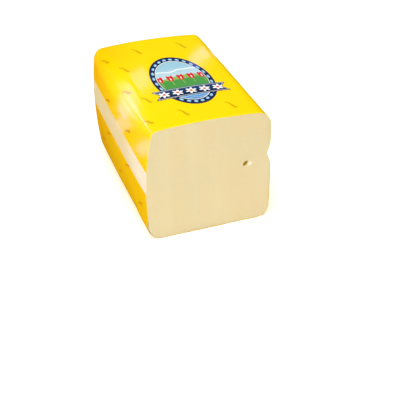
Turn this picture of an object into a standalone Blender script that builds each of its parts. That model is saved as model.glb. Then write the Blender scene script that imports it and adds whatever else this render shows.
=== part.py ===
"""Half a loaf of semi-hard yellow cheese in its printed film, cut square across the front.

The cheese is one solid block with a single eye in its cut face. The film is one skin over the
other five sides, built as separate pieces where its print changes: a printed upper part, a clear
window along the sides and the back, a printed lower part, and the emblem let into the top.
The cut face looks along -Y, the block stands on the XY plane and Z is up. Lengths are in metres.
"""

import math

import bmesh
import bpy
from mathutils import Matrix

LENGTH = 0.1536
WIDEST = 0.0521  # half of the block's width
HEIGHT = 0.0988  # at the crest of the crowned top
FRONT = -LENGTH / 2
FILM_THICKNESS = 0.0004
GAP = 0.0003  # air kept between touching pieces
HOLLOW_OVERHANG = 0.005  # how far the film's hollow runs out in front of the cut

# Each flank bellies out from the middle plane. The pairs hold its values at the cut and at the
# back end: how far out it is, at what level, and how fast it falls away above and below.
LEFT_OUT = (0.0521, 0.0472)
LEFT_LEVEL = (0.045, 0.063)
LEFT_FALL = (2.07, 1.58)  # metres of fall per square metre
LEFT_TAPER_POWER = 1.58  # the left flank keeps its width behind the cut and narrows later
RIGHT_OUT = (0.0521, 0.0516)
RIGHT_LEVEL = (0.044, 0.048)
RIGHT_FALL = (0.31, 0.49)

# A shallow groove runs along the right flank, where the film pulls in.
GROOVE_Z = 0.0610
GROOVE_DEPTH = (0.0028, 0.0006)
GROOVE_SPREAD = 0.0067

# Near the cut the film stands off the lower left edge of the cheese.
PUFF_Z = 0.008
PUFF_DEPTH = 0.0014
PUFF_SPREAD = 0.010
PUFF_END = -0.0425  # where it has died out, along Y

CROWN_X = -0.0095
CROWN_DROP = 0.0026  # from the crest to the top edges
BACK_CROWN = 0.0011  # how far the back end swells past its own rim

# Corner radii of the cross-section at the cut and at the back end
TOP_LEFT_RADII = (0.0042, 0.0072)
TOP_LEFT_SWELL = 0.0110  # the top left corner is rounder than that in the middle of its length
TOP_RIGHT_RADII = (0.0110, 0.0077)
BOTTOM_RADII = (0.0112, 0.0095)
SMALLEST_RADIUS = 0.0012
BACK_ROUND = 0.0068  # the rounding where the sides run into the back end

SIDE_STEPS = (14, 8, 14, 8)  # right flank, top, left flank, bottom
CORNER_STEPS = 6
LENGTH_STEPS = 12
BACK_STEPS = 5
BACK_RINGS = ((0.72, 0.60), (0.40, 1.00))  # size and swell of the rings inside the back's rim

# Upper and lower edges of the clear window, at the cut and at the back end
WINDOW_TOP = (0.0620, 0.0710)
WINDOW_BOTTOM = (0.0432, 0.0500)

EYE_X = 0.0307
EYE_Z = 0.0532
EYE_RADII = (0.0030, 0.0042, 0.0021)
EYE_TILT = math.radians(38)
EYE_SINK = 0.0008  # how far behind the cut face the middle of the eye lies

EMBLEM_X = 0.0040
EMBLEM_Y = -0.0089
EMBLEM_HALF = (0.0244, 0.0415)
EMBLEM_SIDES = 56
BANNER_DROP = 0.0190  # the banner's middle, in front of the emblem's
BANNER_HALF = (0.0310, 0.0072)
BANNER_NOTCH = 0.0050

CHEESE_COLOUR = (0.855, 0.720, 0.415)
PRINT_COLOUR = (0.985, 0.760, 0.010)
EMBLEM_COLOUR = (0.020, 0.090, 0.320)
CLEAR_COLOUR = (0.880, 0.780, 0.560)


def clear_scene():
    for obj in list(bpy.data.objects):
        bpy.data.objects.remove(obj)


def make_material(name, colour, roughness):
    material = bpy.data.materials.new(name)
    material.use_nodes = True
    shader = material.node_tree.nodes["Principled BSDF"]
    shader.inputs["Base Color"].default_value = (*colour, 1)
    shader.inputs["Roughness"].default_value = roughness
    shader.inputs["Metallic"].default_value = 0
    return material


def add_object(name, mesh_builder, material=None):
    """Turns a filled bmesh into a smooth-shaded object."""
    bmesh.ops.recalc_face_normals(mesh_builder, faces=mesh_builder.faces)
    mesh = bpy.data.meshes.new(name)
    mesh_builder.to_mesh(mesh)
    mesh_builder.free()
    mesh.shade_smooth()
    mesh.set_sharp_from_angle(angle=math.radians(35))
    obj = bpy.data.objects.new(name, mesh)
    bpy.context.collection.objects.link(obj)
    if material is None:
        obj.hide_render = True
        obj.display_type = "WIRE"
    else:
        mesh.materials.append(material)
    return obj


def cut(obj, cutter, operation):
    modifier = obj.modifiers.new(f"{operation} {cutter.name}", "BOOLEAN")
    modifier.operation = operation
    modifier.object = cutter


def mix(pair, share):
    return pair[0] + (pair[1] - pair[0]) * share


def along(y):
    """How far y lies from the cut, 0, to the back end, 1."""
    return (y - FRONT) / LENGTH


def half_width(y, z, side, puffed):
    """Distance of the left (side -1) or right (side +1) flank from the middle plane."""
    share = along(y)
    if side < 0:
        share **= LEFT_TAPER_POWER
        half = mix(LEFT_OUT, share) - mix(LEFT_FALL, share) * (z - mix(LEFT_LEVEL, share)) ** 2
        if puffed and y < PUFF_END:
            rise = math.sqrt((PUFF_END - y) / (PUFF_END - FRONT))
            half += PUFF_DEPTH * rise * math.exp(-(((z - PUFF_Z) / PUFF_SPREAD) ** 2))
        return half
    half = mix(RIGHT_OUT, share) - mix(RIGHT_FALL, share) * (z - mix(RIGHT_LEVEL, share)) ** 2
    return half - mix(GROOVE_DEPTH, share) * math.exp(-(((z - GROOVE_Z) / GROOVE_SPREAD) ** 2))


def crowned(y, x, z, puffed):
    """Moves a point of the plain rectangle to its place on the bellied, crowned section."""
    side = -1 if x < 0 else 1
    drop = CROWN_DROP * ((x - CROWN_X) / WIDEST) ** 2
    return x * half_width(y, z, side, puffed) / WIDEST, z * (1 - drop / HEIGHT)


def between(first, second, steps):
    """The inner points of a straight side cut into steps."""
    shares = [step / steps for step in range(1, steps)]
    return [(mix((first[0], second[0]), share), mix((first[1], second[1]), share)) for share in shares]


def rectangle(inset, radii):
    """A rounded rectangle of the section's plain size, anticlockwise, as (x, z) points."""
    half, low, high = WIDEST - inset, inset, HEIGHT - inset
    bottom_right, top_right, top_left, bottom_left = radii
    corners = (
        (half - bottom_right, low + bottom_right, bottom_right, 270),
        (half - top_right, high - top_right, top_right, 0),
        (top_left - half, high - top_left, top_left, 90),
        (bottom_left - half, low + bottom_left, bottom_left, 180),
    )
    arcs = []
    for x, z, radius, start in corners:
        angles = [math.radians(start + 90 * step / CORNER_STEPS) for step in range(CORNER_STEPS + 1)]
        arcs.append([(x + radius * math.cos(a), z + radius * math.sin(a)) for a in angles])
    points = []
    for arc, following, steps in zip(arcs, arcs[1:] + arcs[:1], SIDE_STEPS):
        points += arc + between(arc[-1], following[0], steps)
    return points


def section(y, inset, puffed):
    """The block's outline at y, drawn inset inside its skin."""
    share = along(y)
    bottom = mix(BOTTOM_RADII, share)
    top_left = mix(TOP_LEFT_RADII, share) + TOP_LEFT_SWELL * 4 * share * (1 - share)
    radii = (bottom, mix(TOP_RIGHT_RADII, share), top_left, bottom)
    radii = [max(radius - inset, SMALLEST_RADIUS) for radius in radii]
    return [crowned(y, x, z, puffed) for x, z in rectangle(inset, radii)]


def block_rings(inset, puffed, overhang):
    """The outlines from the cut to the middle of the back end, as lists of (x, y, z) points."""
    rim_y = LENGTH / 2 - BACK_CROWN - inset
    radius = BACK_ROUND - inset
    rings = []
    if overhang:
        rings.append([(x, FRONT - overhang, z) for x, z in section(FRONT, inset, puffed)])
    for step in range(LENGTH_STEPS):
        y = mix((FRONT, rim_y - radius), step / LENGTH_STEPS)
        rings.append([(x, y, z) for x, z in section(y, inset, puffed)])
    for step in range(BACK_STEPS + 1):
        angle = math.radians(90 * step / BACK_STEPS)
        y = rim_y - radius * (1 - math.sin(angle))
        shrink = radius * (1 - math.cos(angle))
        rings.append([(x, y, z) for x, z in section(y, inset + shrink, puffed)])
    rim = rings[-1]
    for size, swell in BACK_RINGS:
        y = rim_y + BACK_CROWN * swell
        rings.append([(x * size, y, mix((HEIGHT / 2, z), size)) for x, _, z in rim])
    return rings


def block(name, inset, puffed, overhang=0, material=None):
    """The whole block's shape, its surface a given inset inside the film's outer face."""
    builder = bmesh.new()
    rings = block_rings(inset, puffed, overhang)
    loops = [[builder.verts.new(point) for point in ring] for ring in rings]
    for first, second in zip(loops, loops[1:]):
        for index in range(len(first)):
            following = (index + 1) % len(first)
            builder.faces.new((first[index], first[following], second[following], second[index]))
    builder.faces.new(loops[0])
    builder.faces.new(loops[-1])
    return add_object(name, builder, material)


def slab(name, low, high):
    """A cutter between two levels, each given at the cut and at the back end."""
    builder = bmesh.new()
    bmesh.ops.create_cube(builder, size=2 * LENGTH)
    for vertex in builder.verts:
        level = low if vertex.co.z < 0 else high
        vertex.co.z = mix(level, along(vertex.co.y))
    return add_object(name, builder)


def prism(name, outline):
    """A cutter that stands upright through the top of the block."""
    builder = bmesh.new()
    base = builder.faces.new([builder.verts.new((x, y, HEIGHT / 2)) for x, y in outline])
    raised = bmesh.ops.extrude_face_region(builder, geom=[base])
    tops = [item for item in raised["geom"] if isinstance(item, bmesh.types.BMVert)]
    bmesh.ops.translate(builder, verts=tops, vec=(0, 0, HEIGHT))
    return add_object(name, builder)


def oval_outline(grow):
    half_x, half_y = EMBLEM_HALF[0] + grow, EMBLEM_HALF[1] + grow
    angles = [2 * math.pi * (step + 0.5) / EMBLEM_SIDES for step in range(EMBLEM_SIDES)]
    return [(EMBLEM_X + half_x * math.cos(a), EMBLEM_Y + half_y * math.sin(a)) for a in angles]


def banner_outline(grow):
    """A straight banner with a notch in each end."""
    half_x, half_y = BANNER_HALF[0] + grow, BANNER_HALF[1] + grow
    middle_y = EMBLEM_Y - BANNER_DROP
    half = [(half_x, -half_y), (half_x - BANNER_NOTCH, 0.0), (half_x, half_y)]
    left = [(-x, y) for x, y in reversed(half)]
    return [(EMBLEM_X + x, middle_y + y) for x, y in half + left]


def build_eye_cutter():
    """A small slanted ellipsoid that sinks into the cut face."""
    builder = bmesh.new()
    bmesh.ops.create_uvsphere(builder, u_segments=20, v_segments=12, radius=1)
    bmesh.ops.scale(builder, verts=builder.verts, vec=EYE_RADII)
    bmesh.ops.rotate(builder, verts=builder.verts, matrix=Matrix.Rotation(-EYE_TILT, 3, "Y"))
    bmesh.ops.translate(builder, verts=builder.verts, vec=(EYE_X, FRONT + EYE_SINK, EYE_Z))
    return add_object("eye_cutter", builder)


def build_cheese():
    material = make_material("cheese", CHEESE_COLOUR, 0.45)
    cheese = block("cheese", FILM_THICKNESS + GAP, False, material=material)
    cut(cheese, build_eye_cutter(), "DIFFERENCE")


def build_skin_piece(name, colour, roughness, hollow, keep):
    """One piece of the film: the whole skin, kept only where the keep cutter reaches."""
    piece = block(name, 0, True, material=make_material(name, colour, roughness))
    cut(piece, hollow, "DIFFERENCE")
    cut(piece, keep, "INTERSECT")
    return piece


def build_film():
    hollow = block("film_hollow", FILM_THICKNESS, True, overhang=HOLLOW_OVERHANG)
    half_gap = GAP / 2
    window_top = [(z - half_gap, z + half_gap) for z in WINDOW_TOP]
    window_bottom = [(z - half_gap, z + half_gap) for z in WINDOW_BOTTOM]
    far_below, far_above = (-LENGTH, -LENGTH), (LENGTH, LENGTH)

    above = slab("above_window", [gap[1] for gap in window_top], far_above)
    upper = build_skin_piece("film_upper", PRINT_COLOUR, 0.28, hollow, above)
    cut(upper, prism("oval_opening", oval_outline(half_gap)), "DIFFERENCE")
    cut(upper, prism("banner_opening", banner_outline(half_gap)), "DIFFERENCE")

    level = slab("window_band", [gap[1] for gap in window_bottom], [gap[0] for gap in window_top])
    build_skin_piece("film_window", CLEAR_COLOUR, 0.20, hollow, level)

    below = slab("below_window", far_below, [gap[0] for gap in window_bottom])
    build_skin_piece("film_lower", PRINT_COLOUR, 0.28, hollow, below)

    outline = prism("emblem_outline", oval_outline(-half_gap))
    cut(outline, prism("banner_outline", banner_outline(-half_gap)), "UNION")
    build_skin_piece("emblem", EMBLEM_COLOUR, 0.28, hollow, outline)


clear_scene()
build_cheese()
build_film()
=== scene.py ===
"""Half a loaf of yellow cheese in its printed film, cut square across the front.

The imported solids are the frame. Each piece below is drawn over the solid that it stands for, in
the order in which the real one is made: the cheese, the film drawn tight round it, its emblem.
"""

import math

import bmesh
import bpy
import numpy as np
from mathutils import Matrix


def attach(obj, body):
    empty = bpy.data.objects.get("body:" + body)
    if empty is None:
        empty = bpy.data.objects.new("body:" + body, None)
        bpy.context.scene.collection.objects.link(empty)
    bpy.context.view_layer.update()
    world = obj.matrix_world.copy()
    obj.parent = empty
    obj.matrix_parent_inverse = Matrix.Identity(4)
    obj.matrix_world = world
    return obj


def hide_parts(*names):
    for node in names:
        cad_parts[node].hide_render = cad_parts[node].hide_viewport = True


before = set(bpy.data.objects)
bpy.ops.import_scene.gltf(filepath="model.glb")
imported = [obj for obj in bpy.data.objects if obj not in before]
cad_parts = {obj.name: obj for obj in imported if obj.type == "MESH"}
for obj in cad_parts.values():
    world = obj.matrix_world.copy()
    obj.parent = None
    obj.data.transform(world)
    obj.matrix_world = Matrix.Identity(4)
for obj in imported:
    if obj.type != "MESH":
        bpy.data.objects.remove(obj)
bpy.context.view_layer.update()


# The cheese is half of a pressed loaf, cut across with a blade, with one eye in the cut.
# It is drawn as a plain round tube closed at both ends, and each of its points is then moved to
# its place on the bellied block. Pairs of sizes hold at the cut and at the back end.
LENGTH = 0.1536
HALF_WIDTH = 0.0521
HEIGHT = 0.0988
FRONT = -LENGTH / 2

LEFT_OUT = (0.0521, 0.0472)
LEFT_LEVEL = (0.045, 0.063)
LEFT_FALL = (2.07, 1.58)
LEFT_TAPER_POWER = 1.58
RIGHT_OUT = (0.0521, 0.0516)
RIGHT_LEVEL = (0.044, 0.048)
RIGHT_FALL = (0.31, 0.49)
GROOVE_Z = 0.0610
GROOVE_DEPTH = (0.0028, 0.0006)
GROOVE_SPREAD = 0.0067
PUFF_Z = 0.008
PUFF_DEPTH = 0.0014
PUFF_SPREAD = 0.010
PUFF_END = -0.0425
CROWN_X = -0.0095
CROWN_DROP = 0.0026
BACK_CROWN = 0.0011
BACK_FLAT = 0.4  # the share of the back end, from its middle, that is swelled in full
BACK_FALL_POWER = 1.5
TOP_LEFT_RADII = (0.0042, 0.0072)
TOP_LEFT_SWELL = 0.0110
TOP_RIGHT_RADII = (0.0110, 0.0077)
BOTTOM_RADII = (0.0112, 0.0095)
SMALLEST_RADIUS = 0.0012
BACK_ROUND = 0.0068

CORNERS = ((1, False, 270), (1, True, 0), (-1, True, 90), (-1, False, 180))
CORNER_STEPS = 16
FLANK_STEPS = 84
TOP_STEPS = 96
UNDERSIDE_STEPS = 20  # from its middle to either side
AROUND = 4 * CORNER_STEPS + 2 * FLANK_STEPS + TOP_STEPS + 2 * UNDERSIDE_STEPS
TOP_MIDDLE = UNDERSIDE_STEPS + 2 * CORNER_STEPS + FLANK_STEPS + TOP_STEPS // 2
LENGTH_ROWS = 140
BACK_ROWS = 8
BACK_RINGS = 36

CHEESE_INSET = 0.00055  # how far the cheese lies inside the film's outer face
CHEESE_PUFF = 0.7  # the share of the puff that the cheese behind it fills
CUT_EDGE = 0.0004
CUT_EDGE_ROWS = 4
FACE_RINGS = 44


def mix(pair, share):
    return pair[0] + (pair[1] - pair[0]) * share


def straight(start, goal, steps):
    """Points along a straight line, without the last one."""
    shares = np.arange(steps)[:, None] / steps
    return start + (goal - start) * shares


def plain_outline(inset, radii):
    """A rounded rectangle of the block's size, anticlockwise from the middle of its underside."""
    half, low, high = HALF_WIDTH - inset, inset, HEIGHT - inset
    arcs = []
    for (side, upper, start), radius in zip(CORNERS, radii):
        middle_z = high - radius if upper else low + radius
        turn = np.radians(start + np.linspace(0, 90, CORNER_STEPS + 1))
        x = side * (half - radius) + radius * np.cos(turn)
        arcs.append(np.column_stack((x, middle_z + radius * np.sin(turn))))
    underside = np.array((0.0, low))
    goals = (arcs[1][0], arcs[2][0], arcs[3][0], underside)
    counts = (FLANK_STEPS, TOP_STEPS, FLANK_STEPS, UNDERSIDE_STEPS)
    path = [straight(underside, arcs[0][0], UNDERSIDE_STEPS)]
    for arc, goal, count in zip(arcs, goals, counts):
        path.append(arc[:-1])
        path.append(straight(arc[-1], goal, count))
    return np.concatenate(path).T


def left_flank(y, z, puffed):
    """How far the left flank lies from the middle plane."""
    share = ((y - FRONT) / LENGTH) ** LEFT_TAPER_POWER
    half = mix(LEFT_OUT, share) - mix(LEFT_FALL, share) * (z - mix(LEFT_LEVEL, share)) ** 2
    if y < PUFF_END:
        rise = puffed * math.sqrt((PUFF_END - y) / (PUFF_END - FRONT))
        half = half + PUFF_DEPTH * rise * np.exp(-(((z - PUFF_Z) / PUFF_SPREAD) ** 2))
    return half


def right_flank(y, z):
    """How far the right flank lies from the middle plane, with the groove along it."""
    share = (y - FRONT) / LENGTH
    half = mix(RIGHT_OUT, share) - mix(RIGHT_FALL, share) * (z - mix(RIGHT_LEVEL, share)) ** 2
    return half - mix(GROOVE_DEPTH, share) * np.exp(-(((z - GROOVE_Z) / GROOVE_SPREAD) ** 2))


def block_outline(y, inset, puffed):
    """The bellied, crowned outline of the block at y, as points in space."""
    share = (y - FRONT) / LENGTH
    bottom = mix(BOTTOM_RADII, share)
    top_left = mix(TOP_LEFT_RADII, share) + TOP_LEFT_SWELL * 4 * share * (1 - share)
    radii = (bottom, mix(TOP_RIGHT_RADII, share), top_left, bottom)
    x, z = plain_outline(inset, [max(radius - inset, SMALLEST_RADIUS) for radius in radii])
    half = np.where(x < 0, left_flank(y, z, puffed), right_flank(y, z))
    drop = CROWN_DROP * ((x - CROWN_X) / HALF_WIDTH) ** 2
    return np.column_stack((x * half / HALF_WIDTH, np.full(AROUND, y), z * (1 - drop / HEIGHT)))


def ring_inside(rim, size, y):
    """A copy of an outline drawn in towards the middle of the block's end."""
    ring = rim * size
    ring[:, 1] = y
    ring[:, 2] += HEIGHT / 2 * (1 - size)
    return ring


def block_rows(inset, puffed, cut_edge, cut_edge_rows, face_rings):
    """All the block's rows of points, from the middle of the cut to the middle of the back end."""
    rim_y = LENGTH / 2 - BACK_CROWN - inset
    round_radius = BACK_ROUND - inset
    rows = []
    for step in range(cut_edge_rows):
        turn = math.radians(90 * step / cut_edge_rows)
        y = FRONT + cut_edge * (1 - math.cos(turn))
        rows.append(block_outline(y, inset + cut_edge * (1 - math.sin(turn)), puffed))
    for step in range(LENGTH_ROWS):
        y = mix((FRONT + cut_edge, rim_y - round_radius), step / LENGTH_ROWS)
        rows.append(block_outline(y, inset, puffed))
    for step in range(BACK_ROWS + 1):
        turn = math.radians(90 * step / BACK_ROWS)
        y = rim_y - round_radius * (1 - math.sin(turn))
        rows.append(block_outline(y, inset + round_radius * (1 - math.cos(turn)), puffed))
    face = [ring_inside(rows[0], ring / face_rings, FRONT) for ring in range(face_rings)]
    back = []
    for ring in range(1, BACK_RINGS + 1):
        size = 1 - ring / BACK_RINGS
        swell = 1 - max((size - BACK_FLAT) / (1 - BACK_FLAT), 0.0) ** BACK_FALL_POWER
        back.append(ring_inside(rows[-1], size, rim_y + BACK_CROWN * swell))
    return np.array(face + rows + back)


def choose(piece, kind, wanted):
    """In edit mode, selects only the points, edges or faces that are wanted."""
    bpy.ops.mesh.select_mode(type=kind)
    bpy.ops.mesh.select_all(action="DESELECT")
    mesh = bmesh.from_edit_mesh(piece.data)
    parts = {"VERT": mesh.verts, "EDGE": mesh.edges, "FACE": mesh.faces}[kind]
    for part in parts:
        if wanted(part):
            part.select_set(True)
    bmesh.update_edit_mesh(piece.data)


def close_end(tube, y, rings):
    """Closes an end of the plain tube with smaller and smaller rings down to one point."""
    choose(tube, "EDGE", lambda edge: all(abs(point.co.y - y) < 0.5 for point in edge.verts))
    for ring in range(1, rings):
        bpy.ops.mesh.extrude_region_move()
        shrink = (rings - ring) / (rings - ring + 1)
        bpy.ops.transform.resize(value=(shrink, 1, shrink))
    bpy.ops.mesh.extrude_region_move()
    bpy.ops.mesh.merge(type="CENTER")


def draw_tube(name, rows, face_rings):
    """A plain round tube along Y with a row of points at every unit of its length."""
    bpy.ops.object.select_all(action="DESELECT")
    bpy.ops.mesh.primitive_circle_add(vertices=AROUND, radius=1, rotation=(math.pi / 2, 0, 0))
    tube = bpy.context.object
    tube.name = name
    bpy.ops.object.transform_apply(location=False, rotation=True, scale=False)
    bpy.ops.object.mode_set(mode="EDIT")
    bpy.ops.mesh.select_mode(type="EDGE")
    bpy.ops.mesh.select_all(action="SELECT")
    bpy.ops.mesh.extrude_region_move(TRANSFORM_OT_translate={"value": (0, rows, 0)})
    close_end(tube, rows, BACK_RINGS)
    if face_rings:
        close_end(tube, 0, face_rings)
    choose(tube, "EDGE", lambda edge: abs(edge.verts[0].co.y - edge.verts[1].co.y) > 0.5)
    bpy.ops.mesh.subdivide(number_cuts=rows - 1)
    bpy.ops.mesh.select_all(action="SELECT")
    bpy.ops.mesh.normals_make_consistent(inside=False)
    bpy.ops.object.mode_set(mode="OBJECT")
    return tube


def read_points(piece):
    points = np.empty(len(piece.data.vertices) * 3)
    piece.data.vertices.foreach_get("co", points)
    return points.reshape(-1, 3)


def write_points(piece, points):
    piece.data.vertices.foreach_set("co", points.ravel())
    piece.data.update()


def place_on_tube(tube, rows, face_rings):
    """Each point's row along the plain tube, counted from the cut, and its place round it."""
    x, y, z = read_points(tube).T
    inward = 1 - np.hypot(x, z)
    row = np.where(y > rows / 2, y + inward * BACK_RINGS, y - inward * face_rings)
    place = np.rint(np.arctan2(x, -z) / (2 * math.pi) * AROUND).astype(int) % AROUND
    return np.rint(row).astype(int), place


def point_normals(piece):
    normals = np.empty(len(piece.data.vertices) * 3)
    piece.data.vertex_normals.foreach_get("vector", normals)
    return normals.reshape(-1, 3)


def apply_modifiers(piece):
    """Applies the piece's modifiers, with nothing else selected."""
    bpy.ops.object.select_all(action="DESELECT")
    bpy.context.view_layer.objects.active = piece
    piece.select_set(True)
    for name in [modifier.name for modifier in piece.modifiers]:
        bpy.ops.object.modifier_apply(modifier=name)


CHEESE_ROWS = CUT_EDGE_ROWS + LENGTH_ROWS + BACK_ROWS
cheese = draw_tube("cheese_block", CHEESE_ROWS, FACE_RINGS)
cheese_rows = block_rows(CHEESE_INSET, CHEESE_PUFF, CUT_EDGE, CUT_EDGE_ROWS, FACE_RINGS)
row, place = place_on_tube(cheese, CHEESE_ROWS, FACE_RINGS)
write_points(cheese, cheese_rows[row + FACE_RINGS, place])

# The blade leaves the cut a little uneven. The one eye is a small slanted hollow that a bubble
# left in the paste, and beside it the cut sinks in, so the mesh there is made finer first.
EYE_X = 0.0305
EYE_Z = 0.0532
EYE_RADII = (0.0026, 0.0044, 0.0018)
EYE_TILT = math.radians(40)
EYE_SINK = 0.0006
DIMPLE_X = EYE_X + 0.0016
DIMPLE_Z = EYE_Z - 0.0008
DIMPLE_SPREAD = 0.0030
DIMPLE_DEPTH = 0.0006
UNEVEN_DEPTH = 0.00008
FINE_REACH = 0.010  # how far round the eye the cut has the finer mesh
CHEESE_SHARP = math.radians(38)  # the angle from which an edge stays sharp


def near_eye(face):
    """Whether a face lies in the cut and close to the eye."""
    middle = face.calc_center_median()
    in_cut = face.normal.y < -0.99
    return in_cut and math.hypot(middle.x - EYE_X, middle.z - EYE_Z) < FINE_REACH


bpy.ops.object.mode_set(mode="EDIT")
choose(cheese, "FACE", near_eye)
bpy.ops.mesh.subdivide(number_cuts=2)
bpy.ops.object.mode_set(mode="OBJECT")

points = read_points(cheese)
x, y, z = points.T
on_face = np.clip(1 - (y - FRONT) / CUT_EDGE, 0, 1)
upright_waves = np.sin(x * 95 + 2.2 * np.sin(z * 48))
level_waves = np.sin(z * 130 + 1.7 * np.sin(x * 61))
uneven = 1 + 0.5 * upright_waves + 0.5 * level_waves
dimple = np.exp(-((x - DIMPLE_X) ** 2 + (z - DIMPLE_Z) ** 2) / DIMPLE_SPREAD**2)
points[:, 1] += on_face * (UNEVEN_DEPTH * uneven + DIMPLE_DEPTH * dimple)
write_points(cheese, points)

bpy.ops.object.select_all(action="DESELECT")
bpy.ops.mesh.primitive_uv_sphere_add(segments=32, ring_count=20, radius=1, location=(0, 0, 0))
eye = bpy.context.object
eye.scale = EYE_RADII
eye.rotation_euler = (0, -EYE_TILT, 0)
eye.location = (EYE_X, FRONT + EYE_SINK, EYE_Z)
bpy.ops.object.transform_apply(location=True, rotation=True, scale=True)
scoop = cheese.modifiers.new("eye", "BOOLEAN")
scoop.operation = "DIFFERENCE"
scoop.solver = "EXACT"
scoop.object = eye
apply_modifiers(cheese)
bpy.data.objects.remove(eye)
bpy.ops.object.shade_smooth_by_angle(angle=CHEESE_SHARP)


class Amount:
    """A number that varies over a surface. Sums in Python add Math nodes to its finish."""

    def __init__(self, finish, socket):
        self.finish = finish
        self.socket = socket

    def math(self, operation, *inputs):
        sockets = dict(enumerate(inputs))
        return self.finish.node("ShaderNodeMath", {"operation": operation}, sockets)

    def __add__(self, other):
        return self.math("ADD", self, other)

    def __radd__(self, other):
        return self.math("ADD", other, self)

    def __sub__(self, other):
        return self.math("SUBTRACT", self, other)

    def __rsub__(self, other):
        return self.math("SUBTRACT", other, self)

    def __mul__(self, other):
        return self.math("MULTIPLY", self, other)

    def __rmul__(self, other):
        return self.math("MULTIPLY", other, self)

    def __truediv__(self, other):
        return self.math("DIVIDE", self, other)

    def __pow__(self, other):
        return self.math("POWER", self, other)

    def __abs__(self):
        return self.math("ABSOLUTE", self)

    def sine(self):
        return self.math("SINE", self)

    def root(self):
        return self.math("SQRT", self)

    def least(self, other):
        return self.math("MINIMUM", self, other)

    def angle_from(self, other):
        return self.math("ARCTAN2", self, other)

    def above(self, level):
        """1 where the amount is over a level and 0 elsewhere."""
        return self.math("GREATER_THAN", self, level)

    def repeat(self, pitch):
        """The distance from the nearest multiple of the pitch, with its sign."""
        return self.math("WRAP", self, pitch / 2, -pitch / 2)

    def fade(self, none, full):
        """A soft step from 0 where the amount is none to 1 where it is full."""
        settings = {"interpolation_type": "SMOOTHSTEP"}
        sockets = {"Value": self, "From Min": none, "From Max": full}
        return self.finish.node("ShaderNodeMapRange", settings, sockets)


class Finish:
    """A material being mixed: one surface shader and the nodes that feed it."""

    def __init__(self, name, constants):
        self.material = bpy.data.materials.new(name)
        self.material.use_nodes = True
        self.tree = self.material.node_tree
        self.surface = self.tree.nodes["Principled BSDF"]
        for socket, value in constants.items():
            self.surface.inputs[socket].default_value = value

    def feed(self, socket, value):
        if isinstance(value, Amount):
            self.tree.links.new(value.socket, socket)
        else:
            socket.default_value = value

    def node(self, kind, settings, sockets, output=0):
        """Adds a node, sets it up, feeds its sockets and hands back one of its outputs."""
        node = self.tree.nodes.new(kind)
        for name, value in settings.items():
            setattr(node, name, value)
        for name, value in sockets.items():
            self.feed(node.inputs[name], value)
        return Amount(self, node.outputs[output])

    def place(self):
        """The point's own x, y and z on the piece."""
        point = self.node("ShaderNodeTexCoord", {}, {}, "Object")
        return [self.node("ShaderNodeSeparateXYZ", {}, {0: point}, axis) for axis in range(3)]

    def unrolled(self):
        """The point's place on the unrolled film: across from the top's middle, and along."""
        sheet = self.node("ShaderNodeUVMap", {"uv_map": "print"}, {})
        return [self.node("ShaderNodeSeparateXYZ", {}, {0: sheet}, axis) for axis in range(2)]

    def noise(self, scale, detail, stretch=(1, 1, 1), roughness=0.5):
        point = self.node("ShaderNodeTexCoord", {}, {}, "Object")
        spread = self.node("ShaderNodeVectorMath", {"operation": "MULTIPLY"}, {0: point, 1: stretch})
        sockets = {"Vector": spread, "Scale": scale, "Detail": detail, "Roughness": roughness}
        return self.node("ShaderNodeTexNoise", {}, sockets)

    def blend(self, share, under, over):
        """Lays one colour over another."""
        sockets = {"Factor": share, 6: self.colour(under), 7: self.colour(over)}
        return self.node("ShaderNodeMix", {"data_type": "RGBA"}, sockets, 2)

    def colour(self, value):
        return value if isinstance(value, Amount) else (*value, 1)

    def paint(self, socket, value):
        self.feed(self.surface.inputs[socket], value)

    def raise_by(self, height, distance):
        """Feeds a fine relief to the surface."""
        self.paint("Normal", self.node("ShaderNodeBump", {}, {"Height": height, "Distance": distance}))


def wear(piece, finish, slot, *nodes):
    """Gives a finished piece its material and its body, and hides the solids it stands for. The slot is
    not used.
    """
    piece.data.materials.clear()
    piece.data.materials.append(finish.material)
    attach(piece, "root")
    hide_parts(*nodes)


# The paste is pale, dense and faintly moist, with warmer clouds and paler upright streaks. The
# fine marks of the blade and its grain show in the cut alone. The eye is painted darker inside,
# as painted shade in its hollow, and a painted highlight lies on the paste at its lower right rim.
PASTE = (0.793, 0.664, 0.387)
PASTE_WARM = (0.817, 0.658, 0.362)
PASTE_LIGHT = (0.826, 0.715, 0.451)
# Painted shade inside the eye, and a painted highlight on the paste at its lower right rim.
EYE_PAINTED_SHADE = (0.780, 0.600, 0.090)
EYE_RIM_HIGHLIGHT = (0.950, 0.850, 0.680)
EYE_GLOSS = 0.24  # how much smoother the eye is
EYE_EDGE = (0.0046, 0.0034)  # how far from its middle the eye's colour starts, and is full
EYE_DEPTH = (0.0007, 0.0016)  # how far behind the cut
RIM_X = EYE_X + 0.0036
RIM_Z = EYE_Z - 0.0006
RIM_EDGE = (0.0028, 0.0006)
CUT_END = (0.0020, 0.0010)  # how far behind the cut its grain and blade marks fade
EYE_END = (0.010, 0.008)  # and the eye's colours
PASTE_ROUGHNESS = 0.46
BLADE_RELIEF = 0.00006

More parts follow.
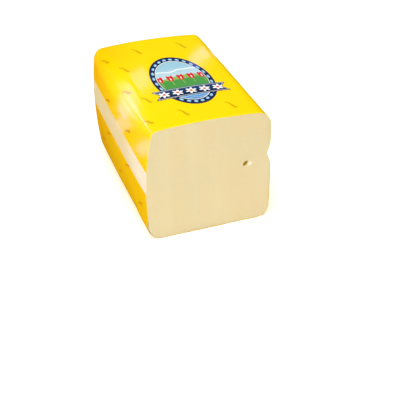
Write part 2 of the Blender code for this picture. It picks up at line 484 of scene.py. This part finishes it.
paste = Finish(
    "cheese_paste",
    {
        "Roughness": PASTE_ROUGHNESS,
        "Specular IOR Level": 0.30,
        "Subsurface Weight": 0.12,
        "Subsurface Scale": 0.003,
        "Subsurface Radius": (1.0, 0.65, 0.25),
    },
)
x, y, z = paste.place()
clouds = paste.noise(24, 3, (1, 0.6, 1))
grain = paste.noise(420, 4)
behind_cut = y - FRONT
in_cut = behind_cut.fade(*CUT_END)
blade = paste.noise(160, 2, (0.08, 1, 1))
streaks = paste.noise(55, 2, (1, 1, 0.12))
tint = paste.blend(clouds.fade(0.35, 0.70), PASTE, PASTE_WARM)
tint = paste.blend(streaks.fade(0.45, 0.70) * 0.5, tint, PASTE_LIGHT)
tint = paste.blend(grain.fade(0.45, 0.75) * in_cut * 0.35, tint, PASTE_LIGHT)
eye_reach = ((x - EYE_X) ** 2 + (z - EYE_Z) ** 2).root().fade(*EYE_EDGE)
near_cut = behind_cut.fade(*EYE_END)
# Where the painted shade inside the eye lies; the eye is also made glossier there.
in_eye = behind_cut.fade(*EYE_DEPTH) * eye_reach * near_cut
# A painted highlight where the eye's lower right rim meets the cut.
rim_highlight = ((x - RIM_X) ** 2 + (z - RIM_Z) ** 2).root().fade(*RIM_EDGE)
tint = paste.blend(rim_highlight * near_cut, tint, EYE_RIM_HIGHLIGHT)
paste.paint("Base Color", paste.blend(in_eye, tint, EYE_PAINTED_SHADE))
paste.paint("Roughness", PASTE_ROUGHNESS - in_eye * EYE_GLOSS + grain * in_cut * 0.04)
paste.raise_by((grain * 0.5 + blade * 0.9) * in_cut, BLADE_RELIEF)
wear(cheese, paste, "cheese", "cheese")


# The film is one sheet of clear plastic, printed yellow inside and drawn tight round the
# cheese. It is drawn as the same tube, open at the cut, and parted along the edges of its print
# into the yellow upper piece, the clear window and the yellow lower piece.
FILM_THICKNESS = 0.00025
FILM_ROWS = LENGTH_ROWS + BACK_ROWS
PARTING = 0.00005  # half the gap between the pieces
WINDOW_TOP = (0.0620, 0.0710)
WINDOW_BOTTOM = (0.0432, 0.0500)

skin = draw_tube("film_upper_print", FILM_ROWS, 0)
skin_rows = block_rows(0, 1, 0, 0, 0)
row, place = place_on_tube(skin, FILM_ROWS, 0)
write_points(skin, skin_rows[row, place])


def film_across(rows):
    """Each point's distance round the film from the middle of the top, right positive."""
    steps = np.linalg.norm(np.diff(rows, axis=1, append=rows[:, :1]), axis=2)
    reached = np.cumsum(steps, axis=1)
    reached = np.concatenate((np.zeros((len(rows), 1)), reached), axis=1)
    middle = reached[:, TOP_MIDDLE : TOP_MIDDLE + 1]
    return middle - reached + rows[:, TOP_MIDDLE : TOP_MIDDLE + 1, 0]


def lay_print(piece, row, place, across):
    """Unrolls the film into a flat sheet of its real size, and the back end on its own."""
    mesh = piece.data
    corner_point = np.empty(len(mesh.loops), dtype=int)
    mesh.loops.foreach_get("vertex_index", corner_point)
    sizes = np.empty(len(mesh.polygons), dtype=int)
    mesh.polygons.foreach_get("loop_total", sizes)
    face = np.repeat(np.arange(len(sizes)), sizes)
    corner_place = place[corner_point]
    last_place = np.zeros(len(sizes), dtype=int)
    np.maximum.at(last_place, face, corner_place)
    wraps = (corner_place == 0) & (last_place[face] > AROUND // 2)
    corner_place = np.where(wraps, AROUND, corner_place)
    first_row = np.full(len(sizes), len(across))
    np.minimum.at(first_row, face, row[corner_point])
    points = read_points(piece)[corner_point]
    on_back = first_row[face] >= FILM_ROWS
    rim_y = LENGTH / 2
    flat_u = across[np.minimum(row[corner_point], FILM_ROWS), corner_place]
    u = np.where(on_back, points[:, 0], flat_u)
    v = np.where(on_back, rim_y + HEIGHT - points[:, 2], points[:, 1])
    layer = mesh.uv_layers.new(name="print")
    layer.data.foreach_set("uv", np.column_stack((u, v)).ravel())


across = film_across(skin_rows)
lay_print(skin, row, place, across)

# Tight film follows the cheese in slow waves. It ripples a little over the top left edge, its
# cut edge wanders, and it is folded in from the corners over the back end.
FILM_LIE = 0.00020
RIPPLE_U = -0.050
RIPPLE_V = -0.028
RIPPLE_REACH = (0.014, 0.016)
WAVE_HEIGHT = 0.00006
RIPPLE_HEIGHT = 0.00002
FOLD_DEPTH = 0.00016
FOLD_REACH = 0.0011
BACK_RISE = 0.00010  # how much closer to its solid's face the film lies over the back end
BACK_EASE_ROWS = 3  # the rows over which the waves give way to the folds
EDGE_WANDER = 0.0005
EDGE_REACH = 0.003

points = read_points(skin)
u = across[np.minimum(row, FILM_ROWS), place]
v = points[:, 1]
waves = np.sin(u * 170 + 1.3 + 1.5 * np.sin(v * 60)) * np.sin(v * 118 + 0.4)
ripple_u = (u - RIPPLE_U) / RIPPLE_REACH[0]
ripple_v = (v - RIPPLE_V) / RIPPLE_REACH[1]
ripples = np.sin(v * 610 + u * 210) * np.exp(-(ripple_u**2) - ripple_v**2)
back_x, back_z = points[:, 0], points[:, 2] - HEIGHT / 2
fold = np.abs(np.abs(back_x) / HALF_WIDTH - np.abs(back_z) / (HEIGHT / 2)) * HALF_WIDTH
on_end = np.clip((row - FILM_ROWS) / BACK_EASE_ROWS, 0, 1)
lie = FILM_LIE + (1 - on_end) * (WAVE_HEIGHT * waves + RIPPLE_HEIGHT * ripples)
lie += on_end * (FOLD_DEPTH * np.exp(-((fold / FOLD_REACH) ** 2)) - BACK_RISE)
points -= point_normals(skin) * lie[:, None]
wander = 0.5 + 0.3 * np.sin(u * 190 + 0.7) + 0.2 * np.sin(u * 430 + 2.0)
points[:, 1] += EDGE_WANDER * wander * np.exp(-np.maximum(v - FRONT, 0) / EDGE_REACH)
write_points(skin, points)


def copy_piece(piece, name):
    twin = piece.copy()
    twin.data = piece.data.copy()
    twin.name = name
    bpy.context.collection.objects.link(twin)
    return twin


def part_film(piece, levels, gap, keep_above):
    """Cuts the film along a slanting level and keeps what lies above or below it."""
    bpy.ops.object.select_all(action="DESELECT")
    bpy.context.view_layer.objects.active = piece
    piece.select_set(True)
    bpy.ops.object.mode_set(mode="EDIT")
    bpy.ops.mesh.select_all(action="SELECT")
    bpy.ops.mesh.bisect(
        plane_co=(0, FRONT, levels[0] + gap),
        plane_no=(0, (levels[0] - levels[1]) / LENGTH, 1),
        clear_inner=keep_above,
        clear_outer=not keep_above,
    )
    bpy.ops.object.mode_set(mode="OBJECT")


FILM_SHARP = math.radians(50)  # the angle from which an edge stays sharp


def thicken(piece, thickness, outward=-1):
    wall = piece.modifiers.new("wall", "SOLIDIFY")
    wall.thickness = thickness
    wall.offset = outward
    apply_modifiers(piece)
    bpy.ops.object.shade_smooth_by_angle(angle=FILM_SHARP)


window = copy_piece(skin, "film_window_clear")
lower = copy_piece(skin, "film_lower_print")
part_film(skin, WINDOW_TOP, PARTING, True)
part_film(window, WINDOW_TOP, -PARTING, False)
part_film(window, WINDOW_BOTTOM, PARTING, True)
part_film(lower, WINDOW_BOTTOM, -PARTING, False)
for piece in (skin, window, lower):
    thicken(piece, FILM_THICKNESS)

# The print is a flat warm yellow with rows of short brown wave strokes slanting across it. It is
# laid out on the unrolled film, so that it bends with it. Towards the back left it is painted deeper,
# as painted shade, and by the cut a painted highlight runs along it.
YELLOW = (0.960, 0.630, 0.0010)
# The flanks are painted in a slightly deeper yellow and warmer strokes than the top, as painted shade;
# the same yellow also lies in random clouds over the top.
YELLOW_FLANK_SHADE_AND_CLOUDS = (0.960, 0.600, 0.0010)
# Painted shade, a deeper yellow for the back left and for the lower piece.
YELLOW_PAINTED_SHADE = (0.950, 0.450, 0.0010)
# A painted highlight, a brighter yellow along the print by the cut.
YELLOW_CUT_HIGHLIGHT = (0.990, 0.780, 0.0150)
STROKE = (0.500, 0.300, 0.001)
STROKE_FLANK_SHADE = (0.640, 0.240, 0.004)
STROKE_INK = 0.85
FLANK_START = (0.046, 0.058)  # how far round from the top's middle the shoulder turns to flank
SHADE_ALONG = (0.005, 0.072)
SHADE_ACROSS = (-0.005, -0.045)
# Where the painted highlight by the cut lies.
CUT_HIGHLIGHT_BRIM = (0.0016, 0.0006)  # the strip of the print by the cut that catches the light
STROKE_PITCH = (0.0390, 0.0552)
STROKE_STARTS = ((-0.0140, -0.0035), (-0.0335, -0.0290))
STROKE_SLANT = math.radians(-63)
STROKE_HALF = 0.0064
STROKE_WAVE = 0.0118
STROKE_PHASE = 2.6
STROKE_SWING = 0.00050
STROKE_WIDTH = 0.00095
STROKE_SWELL = 0.055  # how much of its length a stroke gains in width towards its near end
SOFT = 0.00060  # how far the edge of a stroke blurs
ROWS_CLOSER = ((-0.0385, -0.0100), (-0.0540, 0.0035), (-0.0820, -0.0080))  # down the left side
ROWS_WIDER = (0.0395, -0.0095)  # over the right shoulder


def wave_strokes(across, along):
    """Where the slanting wave strokes are printed. Their rows run unevenly over the shoulders."""
    rows = across + across.above(ROWS_WIDER[0]) * ROWS_WIDER[1]
    for level, shift in ROWS_CLOSER:
        rows = rows + (1 - across.above(level)) * shift
    printed = 0
    for start_u, start_v in STROKE_STARTS:
        u = (rows - start_u).repeat(STROKE_PITCH[0])
        v = (along - start_v).repeat(STROKE_PITCH[1])
        run = u * math.cos(STROKE_SLANT) + v * math.sin(STROKE_SLANT)
        side = v * math.cos(STROKE_SLANT) - u * math.sin(STROKE_SLANT)
        swing = (run * (2 * math.pi / STROKE_WAVE) + STROKE_PHASE).sine() * STROKE_SWING
        width = run * STROKE_SWELL + STROKE_WIDTH
        line = (abs(side - swing) - width).fade(SOFT, -SOFT)
        ends = abs(run).fade(STROKE_HALF + SOFT, STROKE_HALF - SOFT)
        printed = line * ends + printed
    return printed


FILM_GLOSS = {"Roughness": 0.18, "Specular IOR Level": 0.25}
SMOOTHEST = 0.16
PRINT_RELIEF = 0.00004


def gloss_over(film):
    """Gives a finish the film's slightly uneven gloss, and hands back the fine noise in it."""
    fine = film.noise(900, 2)
    film.paint("Roughness", SMOOTHEST + fine * 0.04)
    return fine


def yellow_film(name):
    """The printed film's finish, and the colour of its print, with painted shade on the flanks and
    towards the back left and a painted highlight by the cut.
    """
    film = Finish(name, FILM_GLOSS)
    across, along = film.unrolled()
    flank = abs(across).fade(*FLANK_START)
    clouds = film.noise(30, 2)
    # Painted shade: the flanks take the deeper yellow and warmer strokes, and random clouds of that
    # yellow lie over the top too.
    yellow = film.blend(flank, YELLOW, YELLOW_FLANK_SHADE_AND_CLOUDS)
    yellow = film.blend(clouds.fade(0.4, 0.8) * 0.25, yellow, YELLOW_FLANK_SHADE_AND_CLOUDS)
    # Painted shade, deepening the yellow towards the back left.
    back_left_shade = along.fade(*SHADE_ALONG) * across.fade(*SHADE_ACROSS)
    yellow = film.blend(back_left_shade * 0.75, yellow, YELLOW_PAINTED_SHADE)
    # Painted highlight along the print by the cut.
    yellow = film.blend((along - FRONT).fade(*CUT_HIGHLIGHT_BRIM) * 0.8, yellow, YELLOW_CUT_HIGHLIGHT)
    stretched = film.noise(240, 2, (0.12, 1, 1))
    film.raise_by(gloss_over(film) * 0.25 + stretched * 0.20, PRINT_RELIEF)
    strokes = wave_strokes(across, along) * STROKE_INK
    return film, film.blend(strokes, yellow, film.blend(flank, STROKE, STROKE_FLANK_SHADE))


upper_print, upper_colour = yellow_film("yellow_print_upper")
upper_print.paint("Base Color", upper_colour)
wear(skin, upper_print, "printed_film", "film_upper")

# The lower piece wears the same print, painted a little deeper as painted shade. Under its lower
# left edge by the cut the film stands off the cheese, and there its print is painted pale cream: a
# painted reflection that also lightens the shade in the gap.
LOWER_SHADE = 0.3
# A painted reflection: pale cream painted on the print where the lower left edge stands off the cheese
# by the cut, which also lightens the shade in the gap.
PALE_REFLECTION = (0.840, 0.690, 0.360)
PALE_REFLECTION_SHARE = 0.85
PALE_REFLECTION_SLOPE = 0.20
PALE_REFLECTION_LEVEL = (0.0125, 0.0095)
PALE_REFLECTION_ALONG = (0.036, 0.030)
PALE_REFLECTION_SIDE = (-0.030, -0.040)
lower_print, lower_colour = yellow_film("yellow_print_lower")
x, y, z = lower_print.place()
behind_cut = y - FRONT
# Where the painted reflection lies, low on the left side near the cut.
pale_reflection = (z + behind_cut * PALE_REFLECTION_SLOPE).fade(*PALE_REFLECTION_LEVEL) * behind_cut.fade(*PALE_REFLECTION_ALONG)
pale_reflection = pale_reflection * x.fade(*PALE_REFLECTION_SIDE)
# Painted shade: the lower piece's print is deepened all over.
lower_colour = lower_print.blend(LOWER_SHADE, lower_colour, YELLOW_PAINTED_SHADE)
lower_print.paint("Base Color", lower_print.blend(pale_reflection * PALE_REFLECTION_SHARE, lower_colour, PALE_REFLECTION))
wear(lower, lower_print, "printed_film", "film_lower")

# The window is left unprinted, so that a little of the cheese shows through its haze, which is
# paler and denser towards the cut.
HAZE_FRONT = (0.930, 0.820, 0.670)
HAZE = (0.830, 0.705, 0.420)
HAZE_ALPHA = 0.56
HAZE_MORE = 0.14  # added in the haze's clouds, and again by the cut
HAZE_FADE = (0.080, 0.070)  # how far behind the cut the added haze and its pale colour end
HAZE_RELIEF = 0.00003

clear = Finish("clear_film", FILM_GLOSS)
behind_cut = clear.place()[1] - FRONT
haze = clear.noise(40, 3, (1, 0.35, 1))
more = haze.fade(0.35, 0.75) * HAZE_MORE + behind_cut.fade(HAZE_FADE[0], 0.0) * HAZE_MORE
clear.paint("Alpha", HAZE_ALPHA + more)
clear.paint("Base Color", clear.blend(behind_cut.fade(HAZE_FADE[1], 0.0), HAZE, HAZE_FRONT))
clear.raise_by(gloss_over(clear) * 0.15 + haze * 0.85, HAZE_RELIEF)
wear(window, clear, "clear_film", "film_window")
window.visible_shadow = False


# The emblem is printed on the top in five colours: an oval field and a banner across its
# front half. Each is drawn flat over its place, laid on the film from above and given a thin
# coat of its own.
EMBLEM_X = 0.0040
EMBLEM_Y = -0.0089
EMBLEM_HALF = (0.0244, 0.0415)
EMBLEM_SIDES = 144
EMBLEM_RINGS = 22
BANNER_DROP = 0.0190  # how far in front of the oval's middle the banner lies
BANNER_Y = EMBLEM_Y - BANNER_DROP
BANNER_HALF = (0.0310, 0.0072)
BANNER_NOTCH = 0.0050
INK = 0.00005
INK_LIFT = 0.00002
ABOVE = HEIGHT + 0.01

bpy.ops.object.select_all(action="DESELECT")
bpy.ops.mesh.primitive_circle_add(vertices=EMBLEM_SIDES, radius=1, location=(EMBLEM_X, EMBLEM_Y, ABOVE))
oval = bpy.context.object
oval.name = "emblem_oval"
oval.scale = (*EMBLEM_HALF, 1)
bpy.ops.object.transform_apply(location=False, rotation=False, scale=True)
bpy.ops.object.mode_set(mode="EDIT")
bpy.ops.mesh.select_mode(type="EDGE")
bpy.ops.mesh.select_all(action="SELECT")
for ring in range(1, EMBLEM_RINGS):
    bpy.ops.mesh.extrude_region_move()
    shrink = (EMBLEM_RINGS - ring) / (EMBLEM_RINGS - ring + 1)
    bpy.ops.transform.resize(value=(shrink, shrink, 1))
bpy.ops.mesh.extrude_region_move()
bpy.ops.mesh.merge(type="CENTER")
bpy.ops.mesh.select_all(action="SELECT")
bpy.ops.mesh.normals_make_consistent(inside=False)
bpy.ops.object.mode_set(mode="OBJECT")
bpy.ops.object.transform_apply(location=True, rotation=False, scale=False)

bpy.ops.object.select_all(action="DESELECT")
bpy.ops.mesh.primitive_grid_add(x_subdivisions=64, y_subdivisions=16, size=2, location=(0, 0, 0))
banner = bpy.context.object
banner.name = "emblem_banner"
banner.scale = (*BANNER_HALF, 1)
bpy.ops.object.transform_apply(location=False, rotation=False, scale=True)
points = read_points(banner)
to_edge = 1 - np.abs(points[:, 1]) / BANNER_HALF[1]
points[:, 0] *= 1 - BANNER_NOTCH / BANNER_HALF[0] * to_edge
points += (EMBLEM_X, BANNER_Y, ABOVE)
write_points(banner, points)


def lay_down(piece, target, lift):
    """Lays a flat piece on what is under it, a little above it."""
    drape = piece.modifiers.new("lay", "SHRINKWRAP")
    drape.target = target
    drape.wrap_method = "PROJECT"
    drape.use_project_z = True
    drape.use_negative_direction = True
    drape.use_positive_direction = False
    drape.offset = lift
    apply_modifiers(piece)


def faces_up(piece):
    """Turns a flat piece's faces upwards."""
    normal = piece.data.polygons[0].normal
    if normal.z < 0:
        piece.data.flip_normals()


for piece, lift in ((oval, INK_LIFT), (banner, INK + 2 * INK_LIFT)):
    faces_up(piece)
    lay_down(piece, skin, lift)
    thicken(piece, INK, outward=1)

NAVY = (0.012, 0.022, 0.075)
PALE_BLUE = (0.300, 0.560, 0.780)
SKY = (0.300, 0.520, 0.640)
SKY_LOW = (0.480, 0.640, 0.690)
WHITE = (0.860, 0.870, 0.850)
MEADOW = (0.070, 0.290, 0.060)
MEADOW_LIGHT = (0.260, 0.430, 0.100)
RED = (0.620, 0.015, 0.020)
WATER = (0.040, 0.170, 0.480)
WATER_LIGHT = (0.120, 0.370, 0.660)
PRINT_SOFT = 0.00018
HORIZON = 0.0035
BEADS = 26
TULIP_PITCH = 0.0088
TULIP_BASE = -0.0055
TULIP_HEAD = 0.0098  # from the base to the middle of the head
PETALS = (0.0025, 0.0042)
TIP = (0.0010, 0.0027)
TIP_OUT = 0.0017
TIP_UP = 0.0028
HEART = (0.0005, 0.0021)
STEM_HALF = (0.00035, 0.0040)
STEM_UP = 0.0030
CLOUD_V = 0.0170
CLOUD_HALF = 0.0011
SKY_FADE = 0.022
WATER_FADE = (-0.004, -0.018)
WATER_PITCH = 0.0034
WATER_LINE = 0.00028
RIM_SCALE = 0.030  # turns a share of the oval's reach into metres on its rim, roughly
RIM_BEADS = 0.895
RIM_LINE = 0.815
RIM_INNER = 0.800
BEAD_HALF = (0.0021, 0.0012)


def inside(distance):
    """1 inside a shape and 0 outside it, from the distance to its outline."""
    return distance.fade(PRINT_SOFT, -PRINT_SOFT)


def disc(u, v, across, along):
    """How far a point lies outside an upright ellipse, roughly, in metres."""
    return (((u / across) ** 2 + (v / along) ** 2).root() - 1) * min(across, along)


oval_print = Finish("emblem_oval_print", FILM_GLOSS)
x, y = oval_print.place()[:2]
u = x - EMBLEM_X
v = y - EMBLEM_Y
reach = ((u / EMBLEM_HALF[0]) ** 2 + (v / EMBLEM_HALF[1]) ** 2).root()
turn = (v / EMBLEM_HALF[1]).angle_from(u / EMBLEM_HALF[0])

field = oval_print.blend((v - HORIZON).fade(0.0, SKY_FADE), SKY_LOW, SKY)
cloud_line = (u * 210).sine() * 0.0012 + (u * 470 + 1.0).sine() * 0.0005
cloud_band = inside(abs(v - CLOUD_V - cloud_line) - CLOUD_HALF)
field = oval_print.blend(cloud_band * 0.7, field, WHITE)
hill = HORIZON + 0.0030 + (u * 140 + 0.8).sine() * 0.0018
field = oval_print.blend(inside(v - hill), field, MEADOW_LIGHT)
near_hill = HORIZON - 0.0005 + (u * 90 - 1.1).sine() * 0.0014
field = oval_print.blend(inside(v - near_hill), field, MEADOW)

petal_u = u.repeat(TULIP_PITCH)
stem = inside(abs(petal_u) - STEM_HALF[0]) * inside(abs(v - TULIP_BASE - STEM_UP) - STEM_HALF[1])
field = oval_print.blend(stem, field, MEADOW_LIGHT)
head_v = v - TULIP_BASE - TULIP_HEAD
head = disc(petal_u, head_v, *PETALS)
left_tip = disc(petal_u + TIP_OUT, head_v - TIP_UP, *TIP)
right_tip = disc(petal_u - TIP_OUT, head_v - TIP_UP, *TIP)
tulip = inside(head.least(left_tip).least(right_tip))
field = oval_print.blend(tulip, field, RED)
field = oval_print.blend(inside(disc(petal_u, head_v + 0.0006, *HEART)), field, WHITE)

water_top = BANNER_Y - EMBLEM_Y
water = oval_print.blend((v - water_top).fade(*WATER_FADE), WATER_LIGHT, WATER)
ripple = (u * 620).sine() * 0.0005
wave_line = inside(abs((v + ripple).repeat(WATER_PITCH)) - WATER_LINE)
water = oval_print.blend(wave_line * 0.55, water, WHITE)
field = oval_print.blend(inside(v - water_top), field, water)

bead_turn = turn.repeat(2 * math.pi / BEADS) * RIM_SCALE
bead = disc(bead_turn, (reach - RIM_BEADS) * RIM_SCALE, *BEAD_HALF)
rim = oval_print.blend(inside(bead), NAVY, PALE_BLUE)
rim = oval_print.blend(inside(abs(reach - RIM_LINE) * RIM_SCALE - 0.00030), rim, WHITE)
picture = oval_print.blend(inside((RIM_INNER - reach) * RIM_SCALE), field, rim)
oval_print.paint("Base Color", picture)
gloss_over(oval_print)
wear(oval, oval_print, "emblem_print", "emblem")

NAVY_LIGHT = (0.020, 0.050, 0.160)
BANNER_LINE = 0.0011  # how far inside the banner's edge its white line runs
BANNER_LINE_HALF = 0.00022
FLOWER_PITCH = 0.0112
FLOWERS_END = 0.0265
FLOWER_REACH = 0.0036
PETAL_SWING = 0.0012
FLOWER_HEART = 0.0013

banner_print = Finish("emblem_banner_print", FILM_GLOSS)
x, y = banner_print.place()[:2]
u = x - EMBLEM_X
v = y - BANNER_Y
end = BANNER_HALF[0] - BANNER_NOTCH * (1 - abs(v) / BANNER_HALF[1])
from_edge = (end - abs(u)).least(BANNER_HALF[1] - abs(v))
ribbon = banner_print.blend(v.fade(-0.004, 0.007), NAVY, NAVY_LIGHT)
edge_line = inside(abs(from_edge - BANNER_LINE) - BANNER_LINE_HALF)
ribbon = banner_print.blend(edge_line, ribbon, WHITE)
flower_u = u.repeat(FLOWER_PITCH)
flower_turn = v.angle_from(flower_u)
from_heart = (flower_u**2 + v**2).root()
in_row = inside(abs(u) - FLOWERS_END)
petals = inside(from_heart - FLOWER_REACH - (flower_turn * 6).sine() * PETAL_SWING)
ribbon = banner_print.blend(petals * in_row, ribbon, WHITE)
ribbon = banner_print.blend(inside(from_heart - FLOWER_HEART) * in_row, ribbon, RED)
banner_print.paint("Base Color", ribbon)
gloss_over(banner_print)
wear(banner, banner_print, "emblem_print", "emblem")


# The stage is a plain pale table top under soft studio light, seen as in the photograph. The top
# glows a little of itself, so that it comes out as white as the ground of the photograph.
TABLE_SIZE = 10
TABLE_LOOK = {
    "Base Color": (0.92, 0.92, 0.92, 1),
    "Roughness": 0.9,
    "Specular IOR Level": 0.0,
    "Emission Color": (1, 1, 1, 1),
    "Emission Strength": 0.22,
}

bpy.ops.object.select_all(action="DESELECT")
bpy.ops.mesh.primitive_plane_add(size=TABLE_SIZE, location=(0, 0, 0))
floor = bpy.context.object
floor.name = "table_top"
floor.data.materials.append(Finish("pale_table", TABLE_LOOK).material)
floor.visible_glossy = False


def look_along(thing, way):
    """Turns a lamp or the camera so that it looks along a direction, upright."""
    flat = math.hypot(way[0], way[1])
    pitch = math.atan2(flat, -way[2])
    turn = math.atan2(-way[0], way[1])
    thing.rotation_euler = (pitch, 0, turn)


# The camera stands in front of the block, to its left and above it, and looks a little past it.
CAMERA_PLACE = (-0.29957, -0.82956, 0.55685)
CAMERA_WAY = (0.30256, 0.78005, -0.54771)
CAMERA_LENS = 111.294  # in millimetres, on a sensor 36 mm wide

lens = bpy.data.cameras.new("camera")
lens.sensor_width = 36
lens.lens = CAMERA_LENS
camera = bpy.data.objects.new("camera", lens)
camera.location = CAMERA_PLACE
look_along(camera, CAMERA_WAY)
bpy.context.collection.objects.link(camera)
bpy.context.scene.camera = camera
bpy.context.scene.view_settings.view_transform = "Standard"


# Large soft lamps light the block from all round, and none of them is mirrored in its film.
SOFTBOX_AIM = (0, 0, 0.05)


def area_lamp(name, size, radiance):
    """A flat lamp that lights, but isn't seen mirrored."""
    lamp = bpy.data.lights.new(name, "AREA")
    lamp.shape = "RECTANGLE"
    lamp.size, lamp.size_y = size
    lamp.energy = radiance * math.pi * size[0] * size[1]
    lamp_object = bpy.data.objects.new(name, lamp)
    lamp_object.visible_glossy = False
    bpy.context.collection.objects.link(lamp_object)
    return lamp_object


def softbox(name, direction, distance, size, radiance):
    """A large lamp that faces the block from one direction."""
    lamp = area_lamp(name, size, radiance)
    way = np.array(direction) / np.linalg.norm(direction)
    lamp.location = np.array(SOFTBOX_AIM) + way * distance
    look_along(lamp, -way)


softbox("overhead", (-0.20, -0.25, 0.94), 1.7, (1.8, 1.8), 3.95)
softbox("left_fill", (-0.95, -0.10, 0.14), 2.0, (1.3, 1.3), 3.1)
softbox("front_fill", (0.35, -0.85, 0.35), 2.0, (1.3, 1.3), 0.10)
softbox("right_fill", (0.85, 0.10, 0.45), 2.0, (1.3, 1.3), 1.6)
softbox("back_fill", (0.20, 0.90, 0.30), 2.0, (1.3, 1.3), 1.8)

# The gloss is light mirrored in the film from small lamps, each set where the camera sees it: on
# the left shoulder, along the top left edge, on the flank by the cut, and behind the emblem.
GLINT_COLOUR = (0.30, 0.30, 1.0)  # cool, so that it turns the yellow cream
GLINT_BEAM = math.radians(60)  # half the angle of its beam, past which it isn't seen mirrored


def glint(name, spot, distance, size, radiance):
    """A lamp that the camera sees mirrored at one spot of the film, and that shows as gloss alone."""
    spot, normal = skin.closest_point_on_mesh(spot)[1:3]
    way = (spot - camera.location).normalized().reflect(normal)
    around = way.cross((0, 1, 0)).normalized()
    turned = Matrix((around, way.cross(around), way)).transposed().to_4x4()
    lamp = area_lamp(name, size, radiance)
    lamp.matrix_world = Matrix.Translation(spot + way * distance) @ turned
    lamp.data.color = GLINT_COLOUR
    lamp.data.spread = 2 * GLINT_BEAM
    lamp.data.energy *= 1 - GLINT_BEAM / math.tan(GLINT_BEAM)
    lamp.visible_glossy = True
    lamp.visible_diffuse = False


glint("shoulder_top", (-0.031, 0.001, 0.098), 0.06, (0.026, 0.016), 3.0)
glint("shoulder_upper", (-0.040, -0.006, 0.0955), 0.06, (0.030, 0.012), 6)
glint("shoulder_middle", (-0.044, -0.012, 0.0915), 0.06, (0.036, 0.012), 5)
glint("shoulder_lower", (-0.0475, -0.016, 0.0845), 0.06, (0.036, 0.012), 3.5)
glint("flank_upper", (-0.0490, -0.020, 0.0760), 0.06, (0.020, 0.012), 1.5)
glint("edge_line", (-0.0445, -0.058, 0.0945), 1.2, (0.08, 0.08), 14)
glint("flank_front", (-0.0488, -0.068, 0.0800), 0.08, (0.022, 0.010), 2.2)
glint("right_top", (0.034, 0.030, 0.0967), 0.08, (0.030, 0.010), 4)
glint("right_shoulder", (0.046, 0.034, 0.0935), 0.08, (0.030, 0.006), 1.5)

# A faint warm light comes from the room.
ROOM_COLOUR = (1.0, 0.92, 0.64, 1)
ROOM_STRENGTH = 0.15

world = bpy.data.worlds.new("studio")
world.use_nodes = True
room = world.node_tree.nodes["Background"]
room.inputs["Color"].default_value = ROOM_COLOUR
room.inputs["Strength"].default_value = ROOM_STRENGTH
world.cycles_visibility.glossy = False
bpy.context.scene.world = world
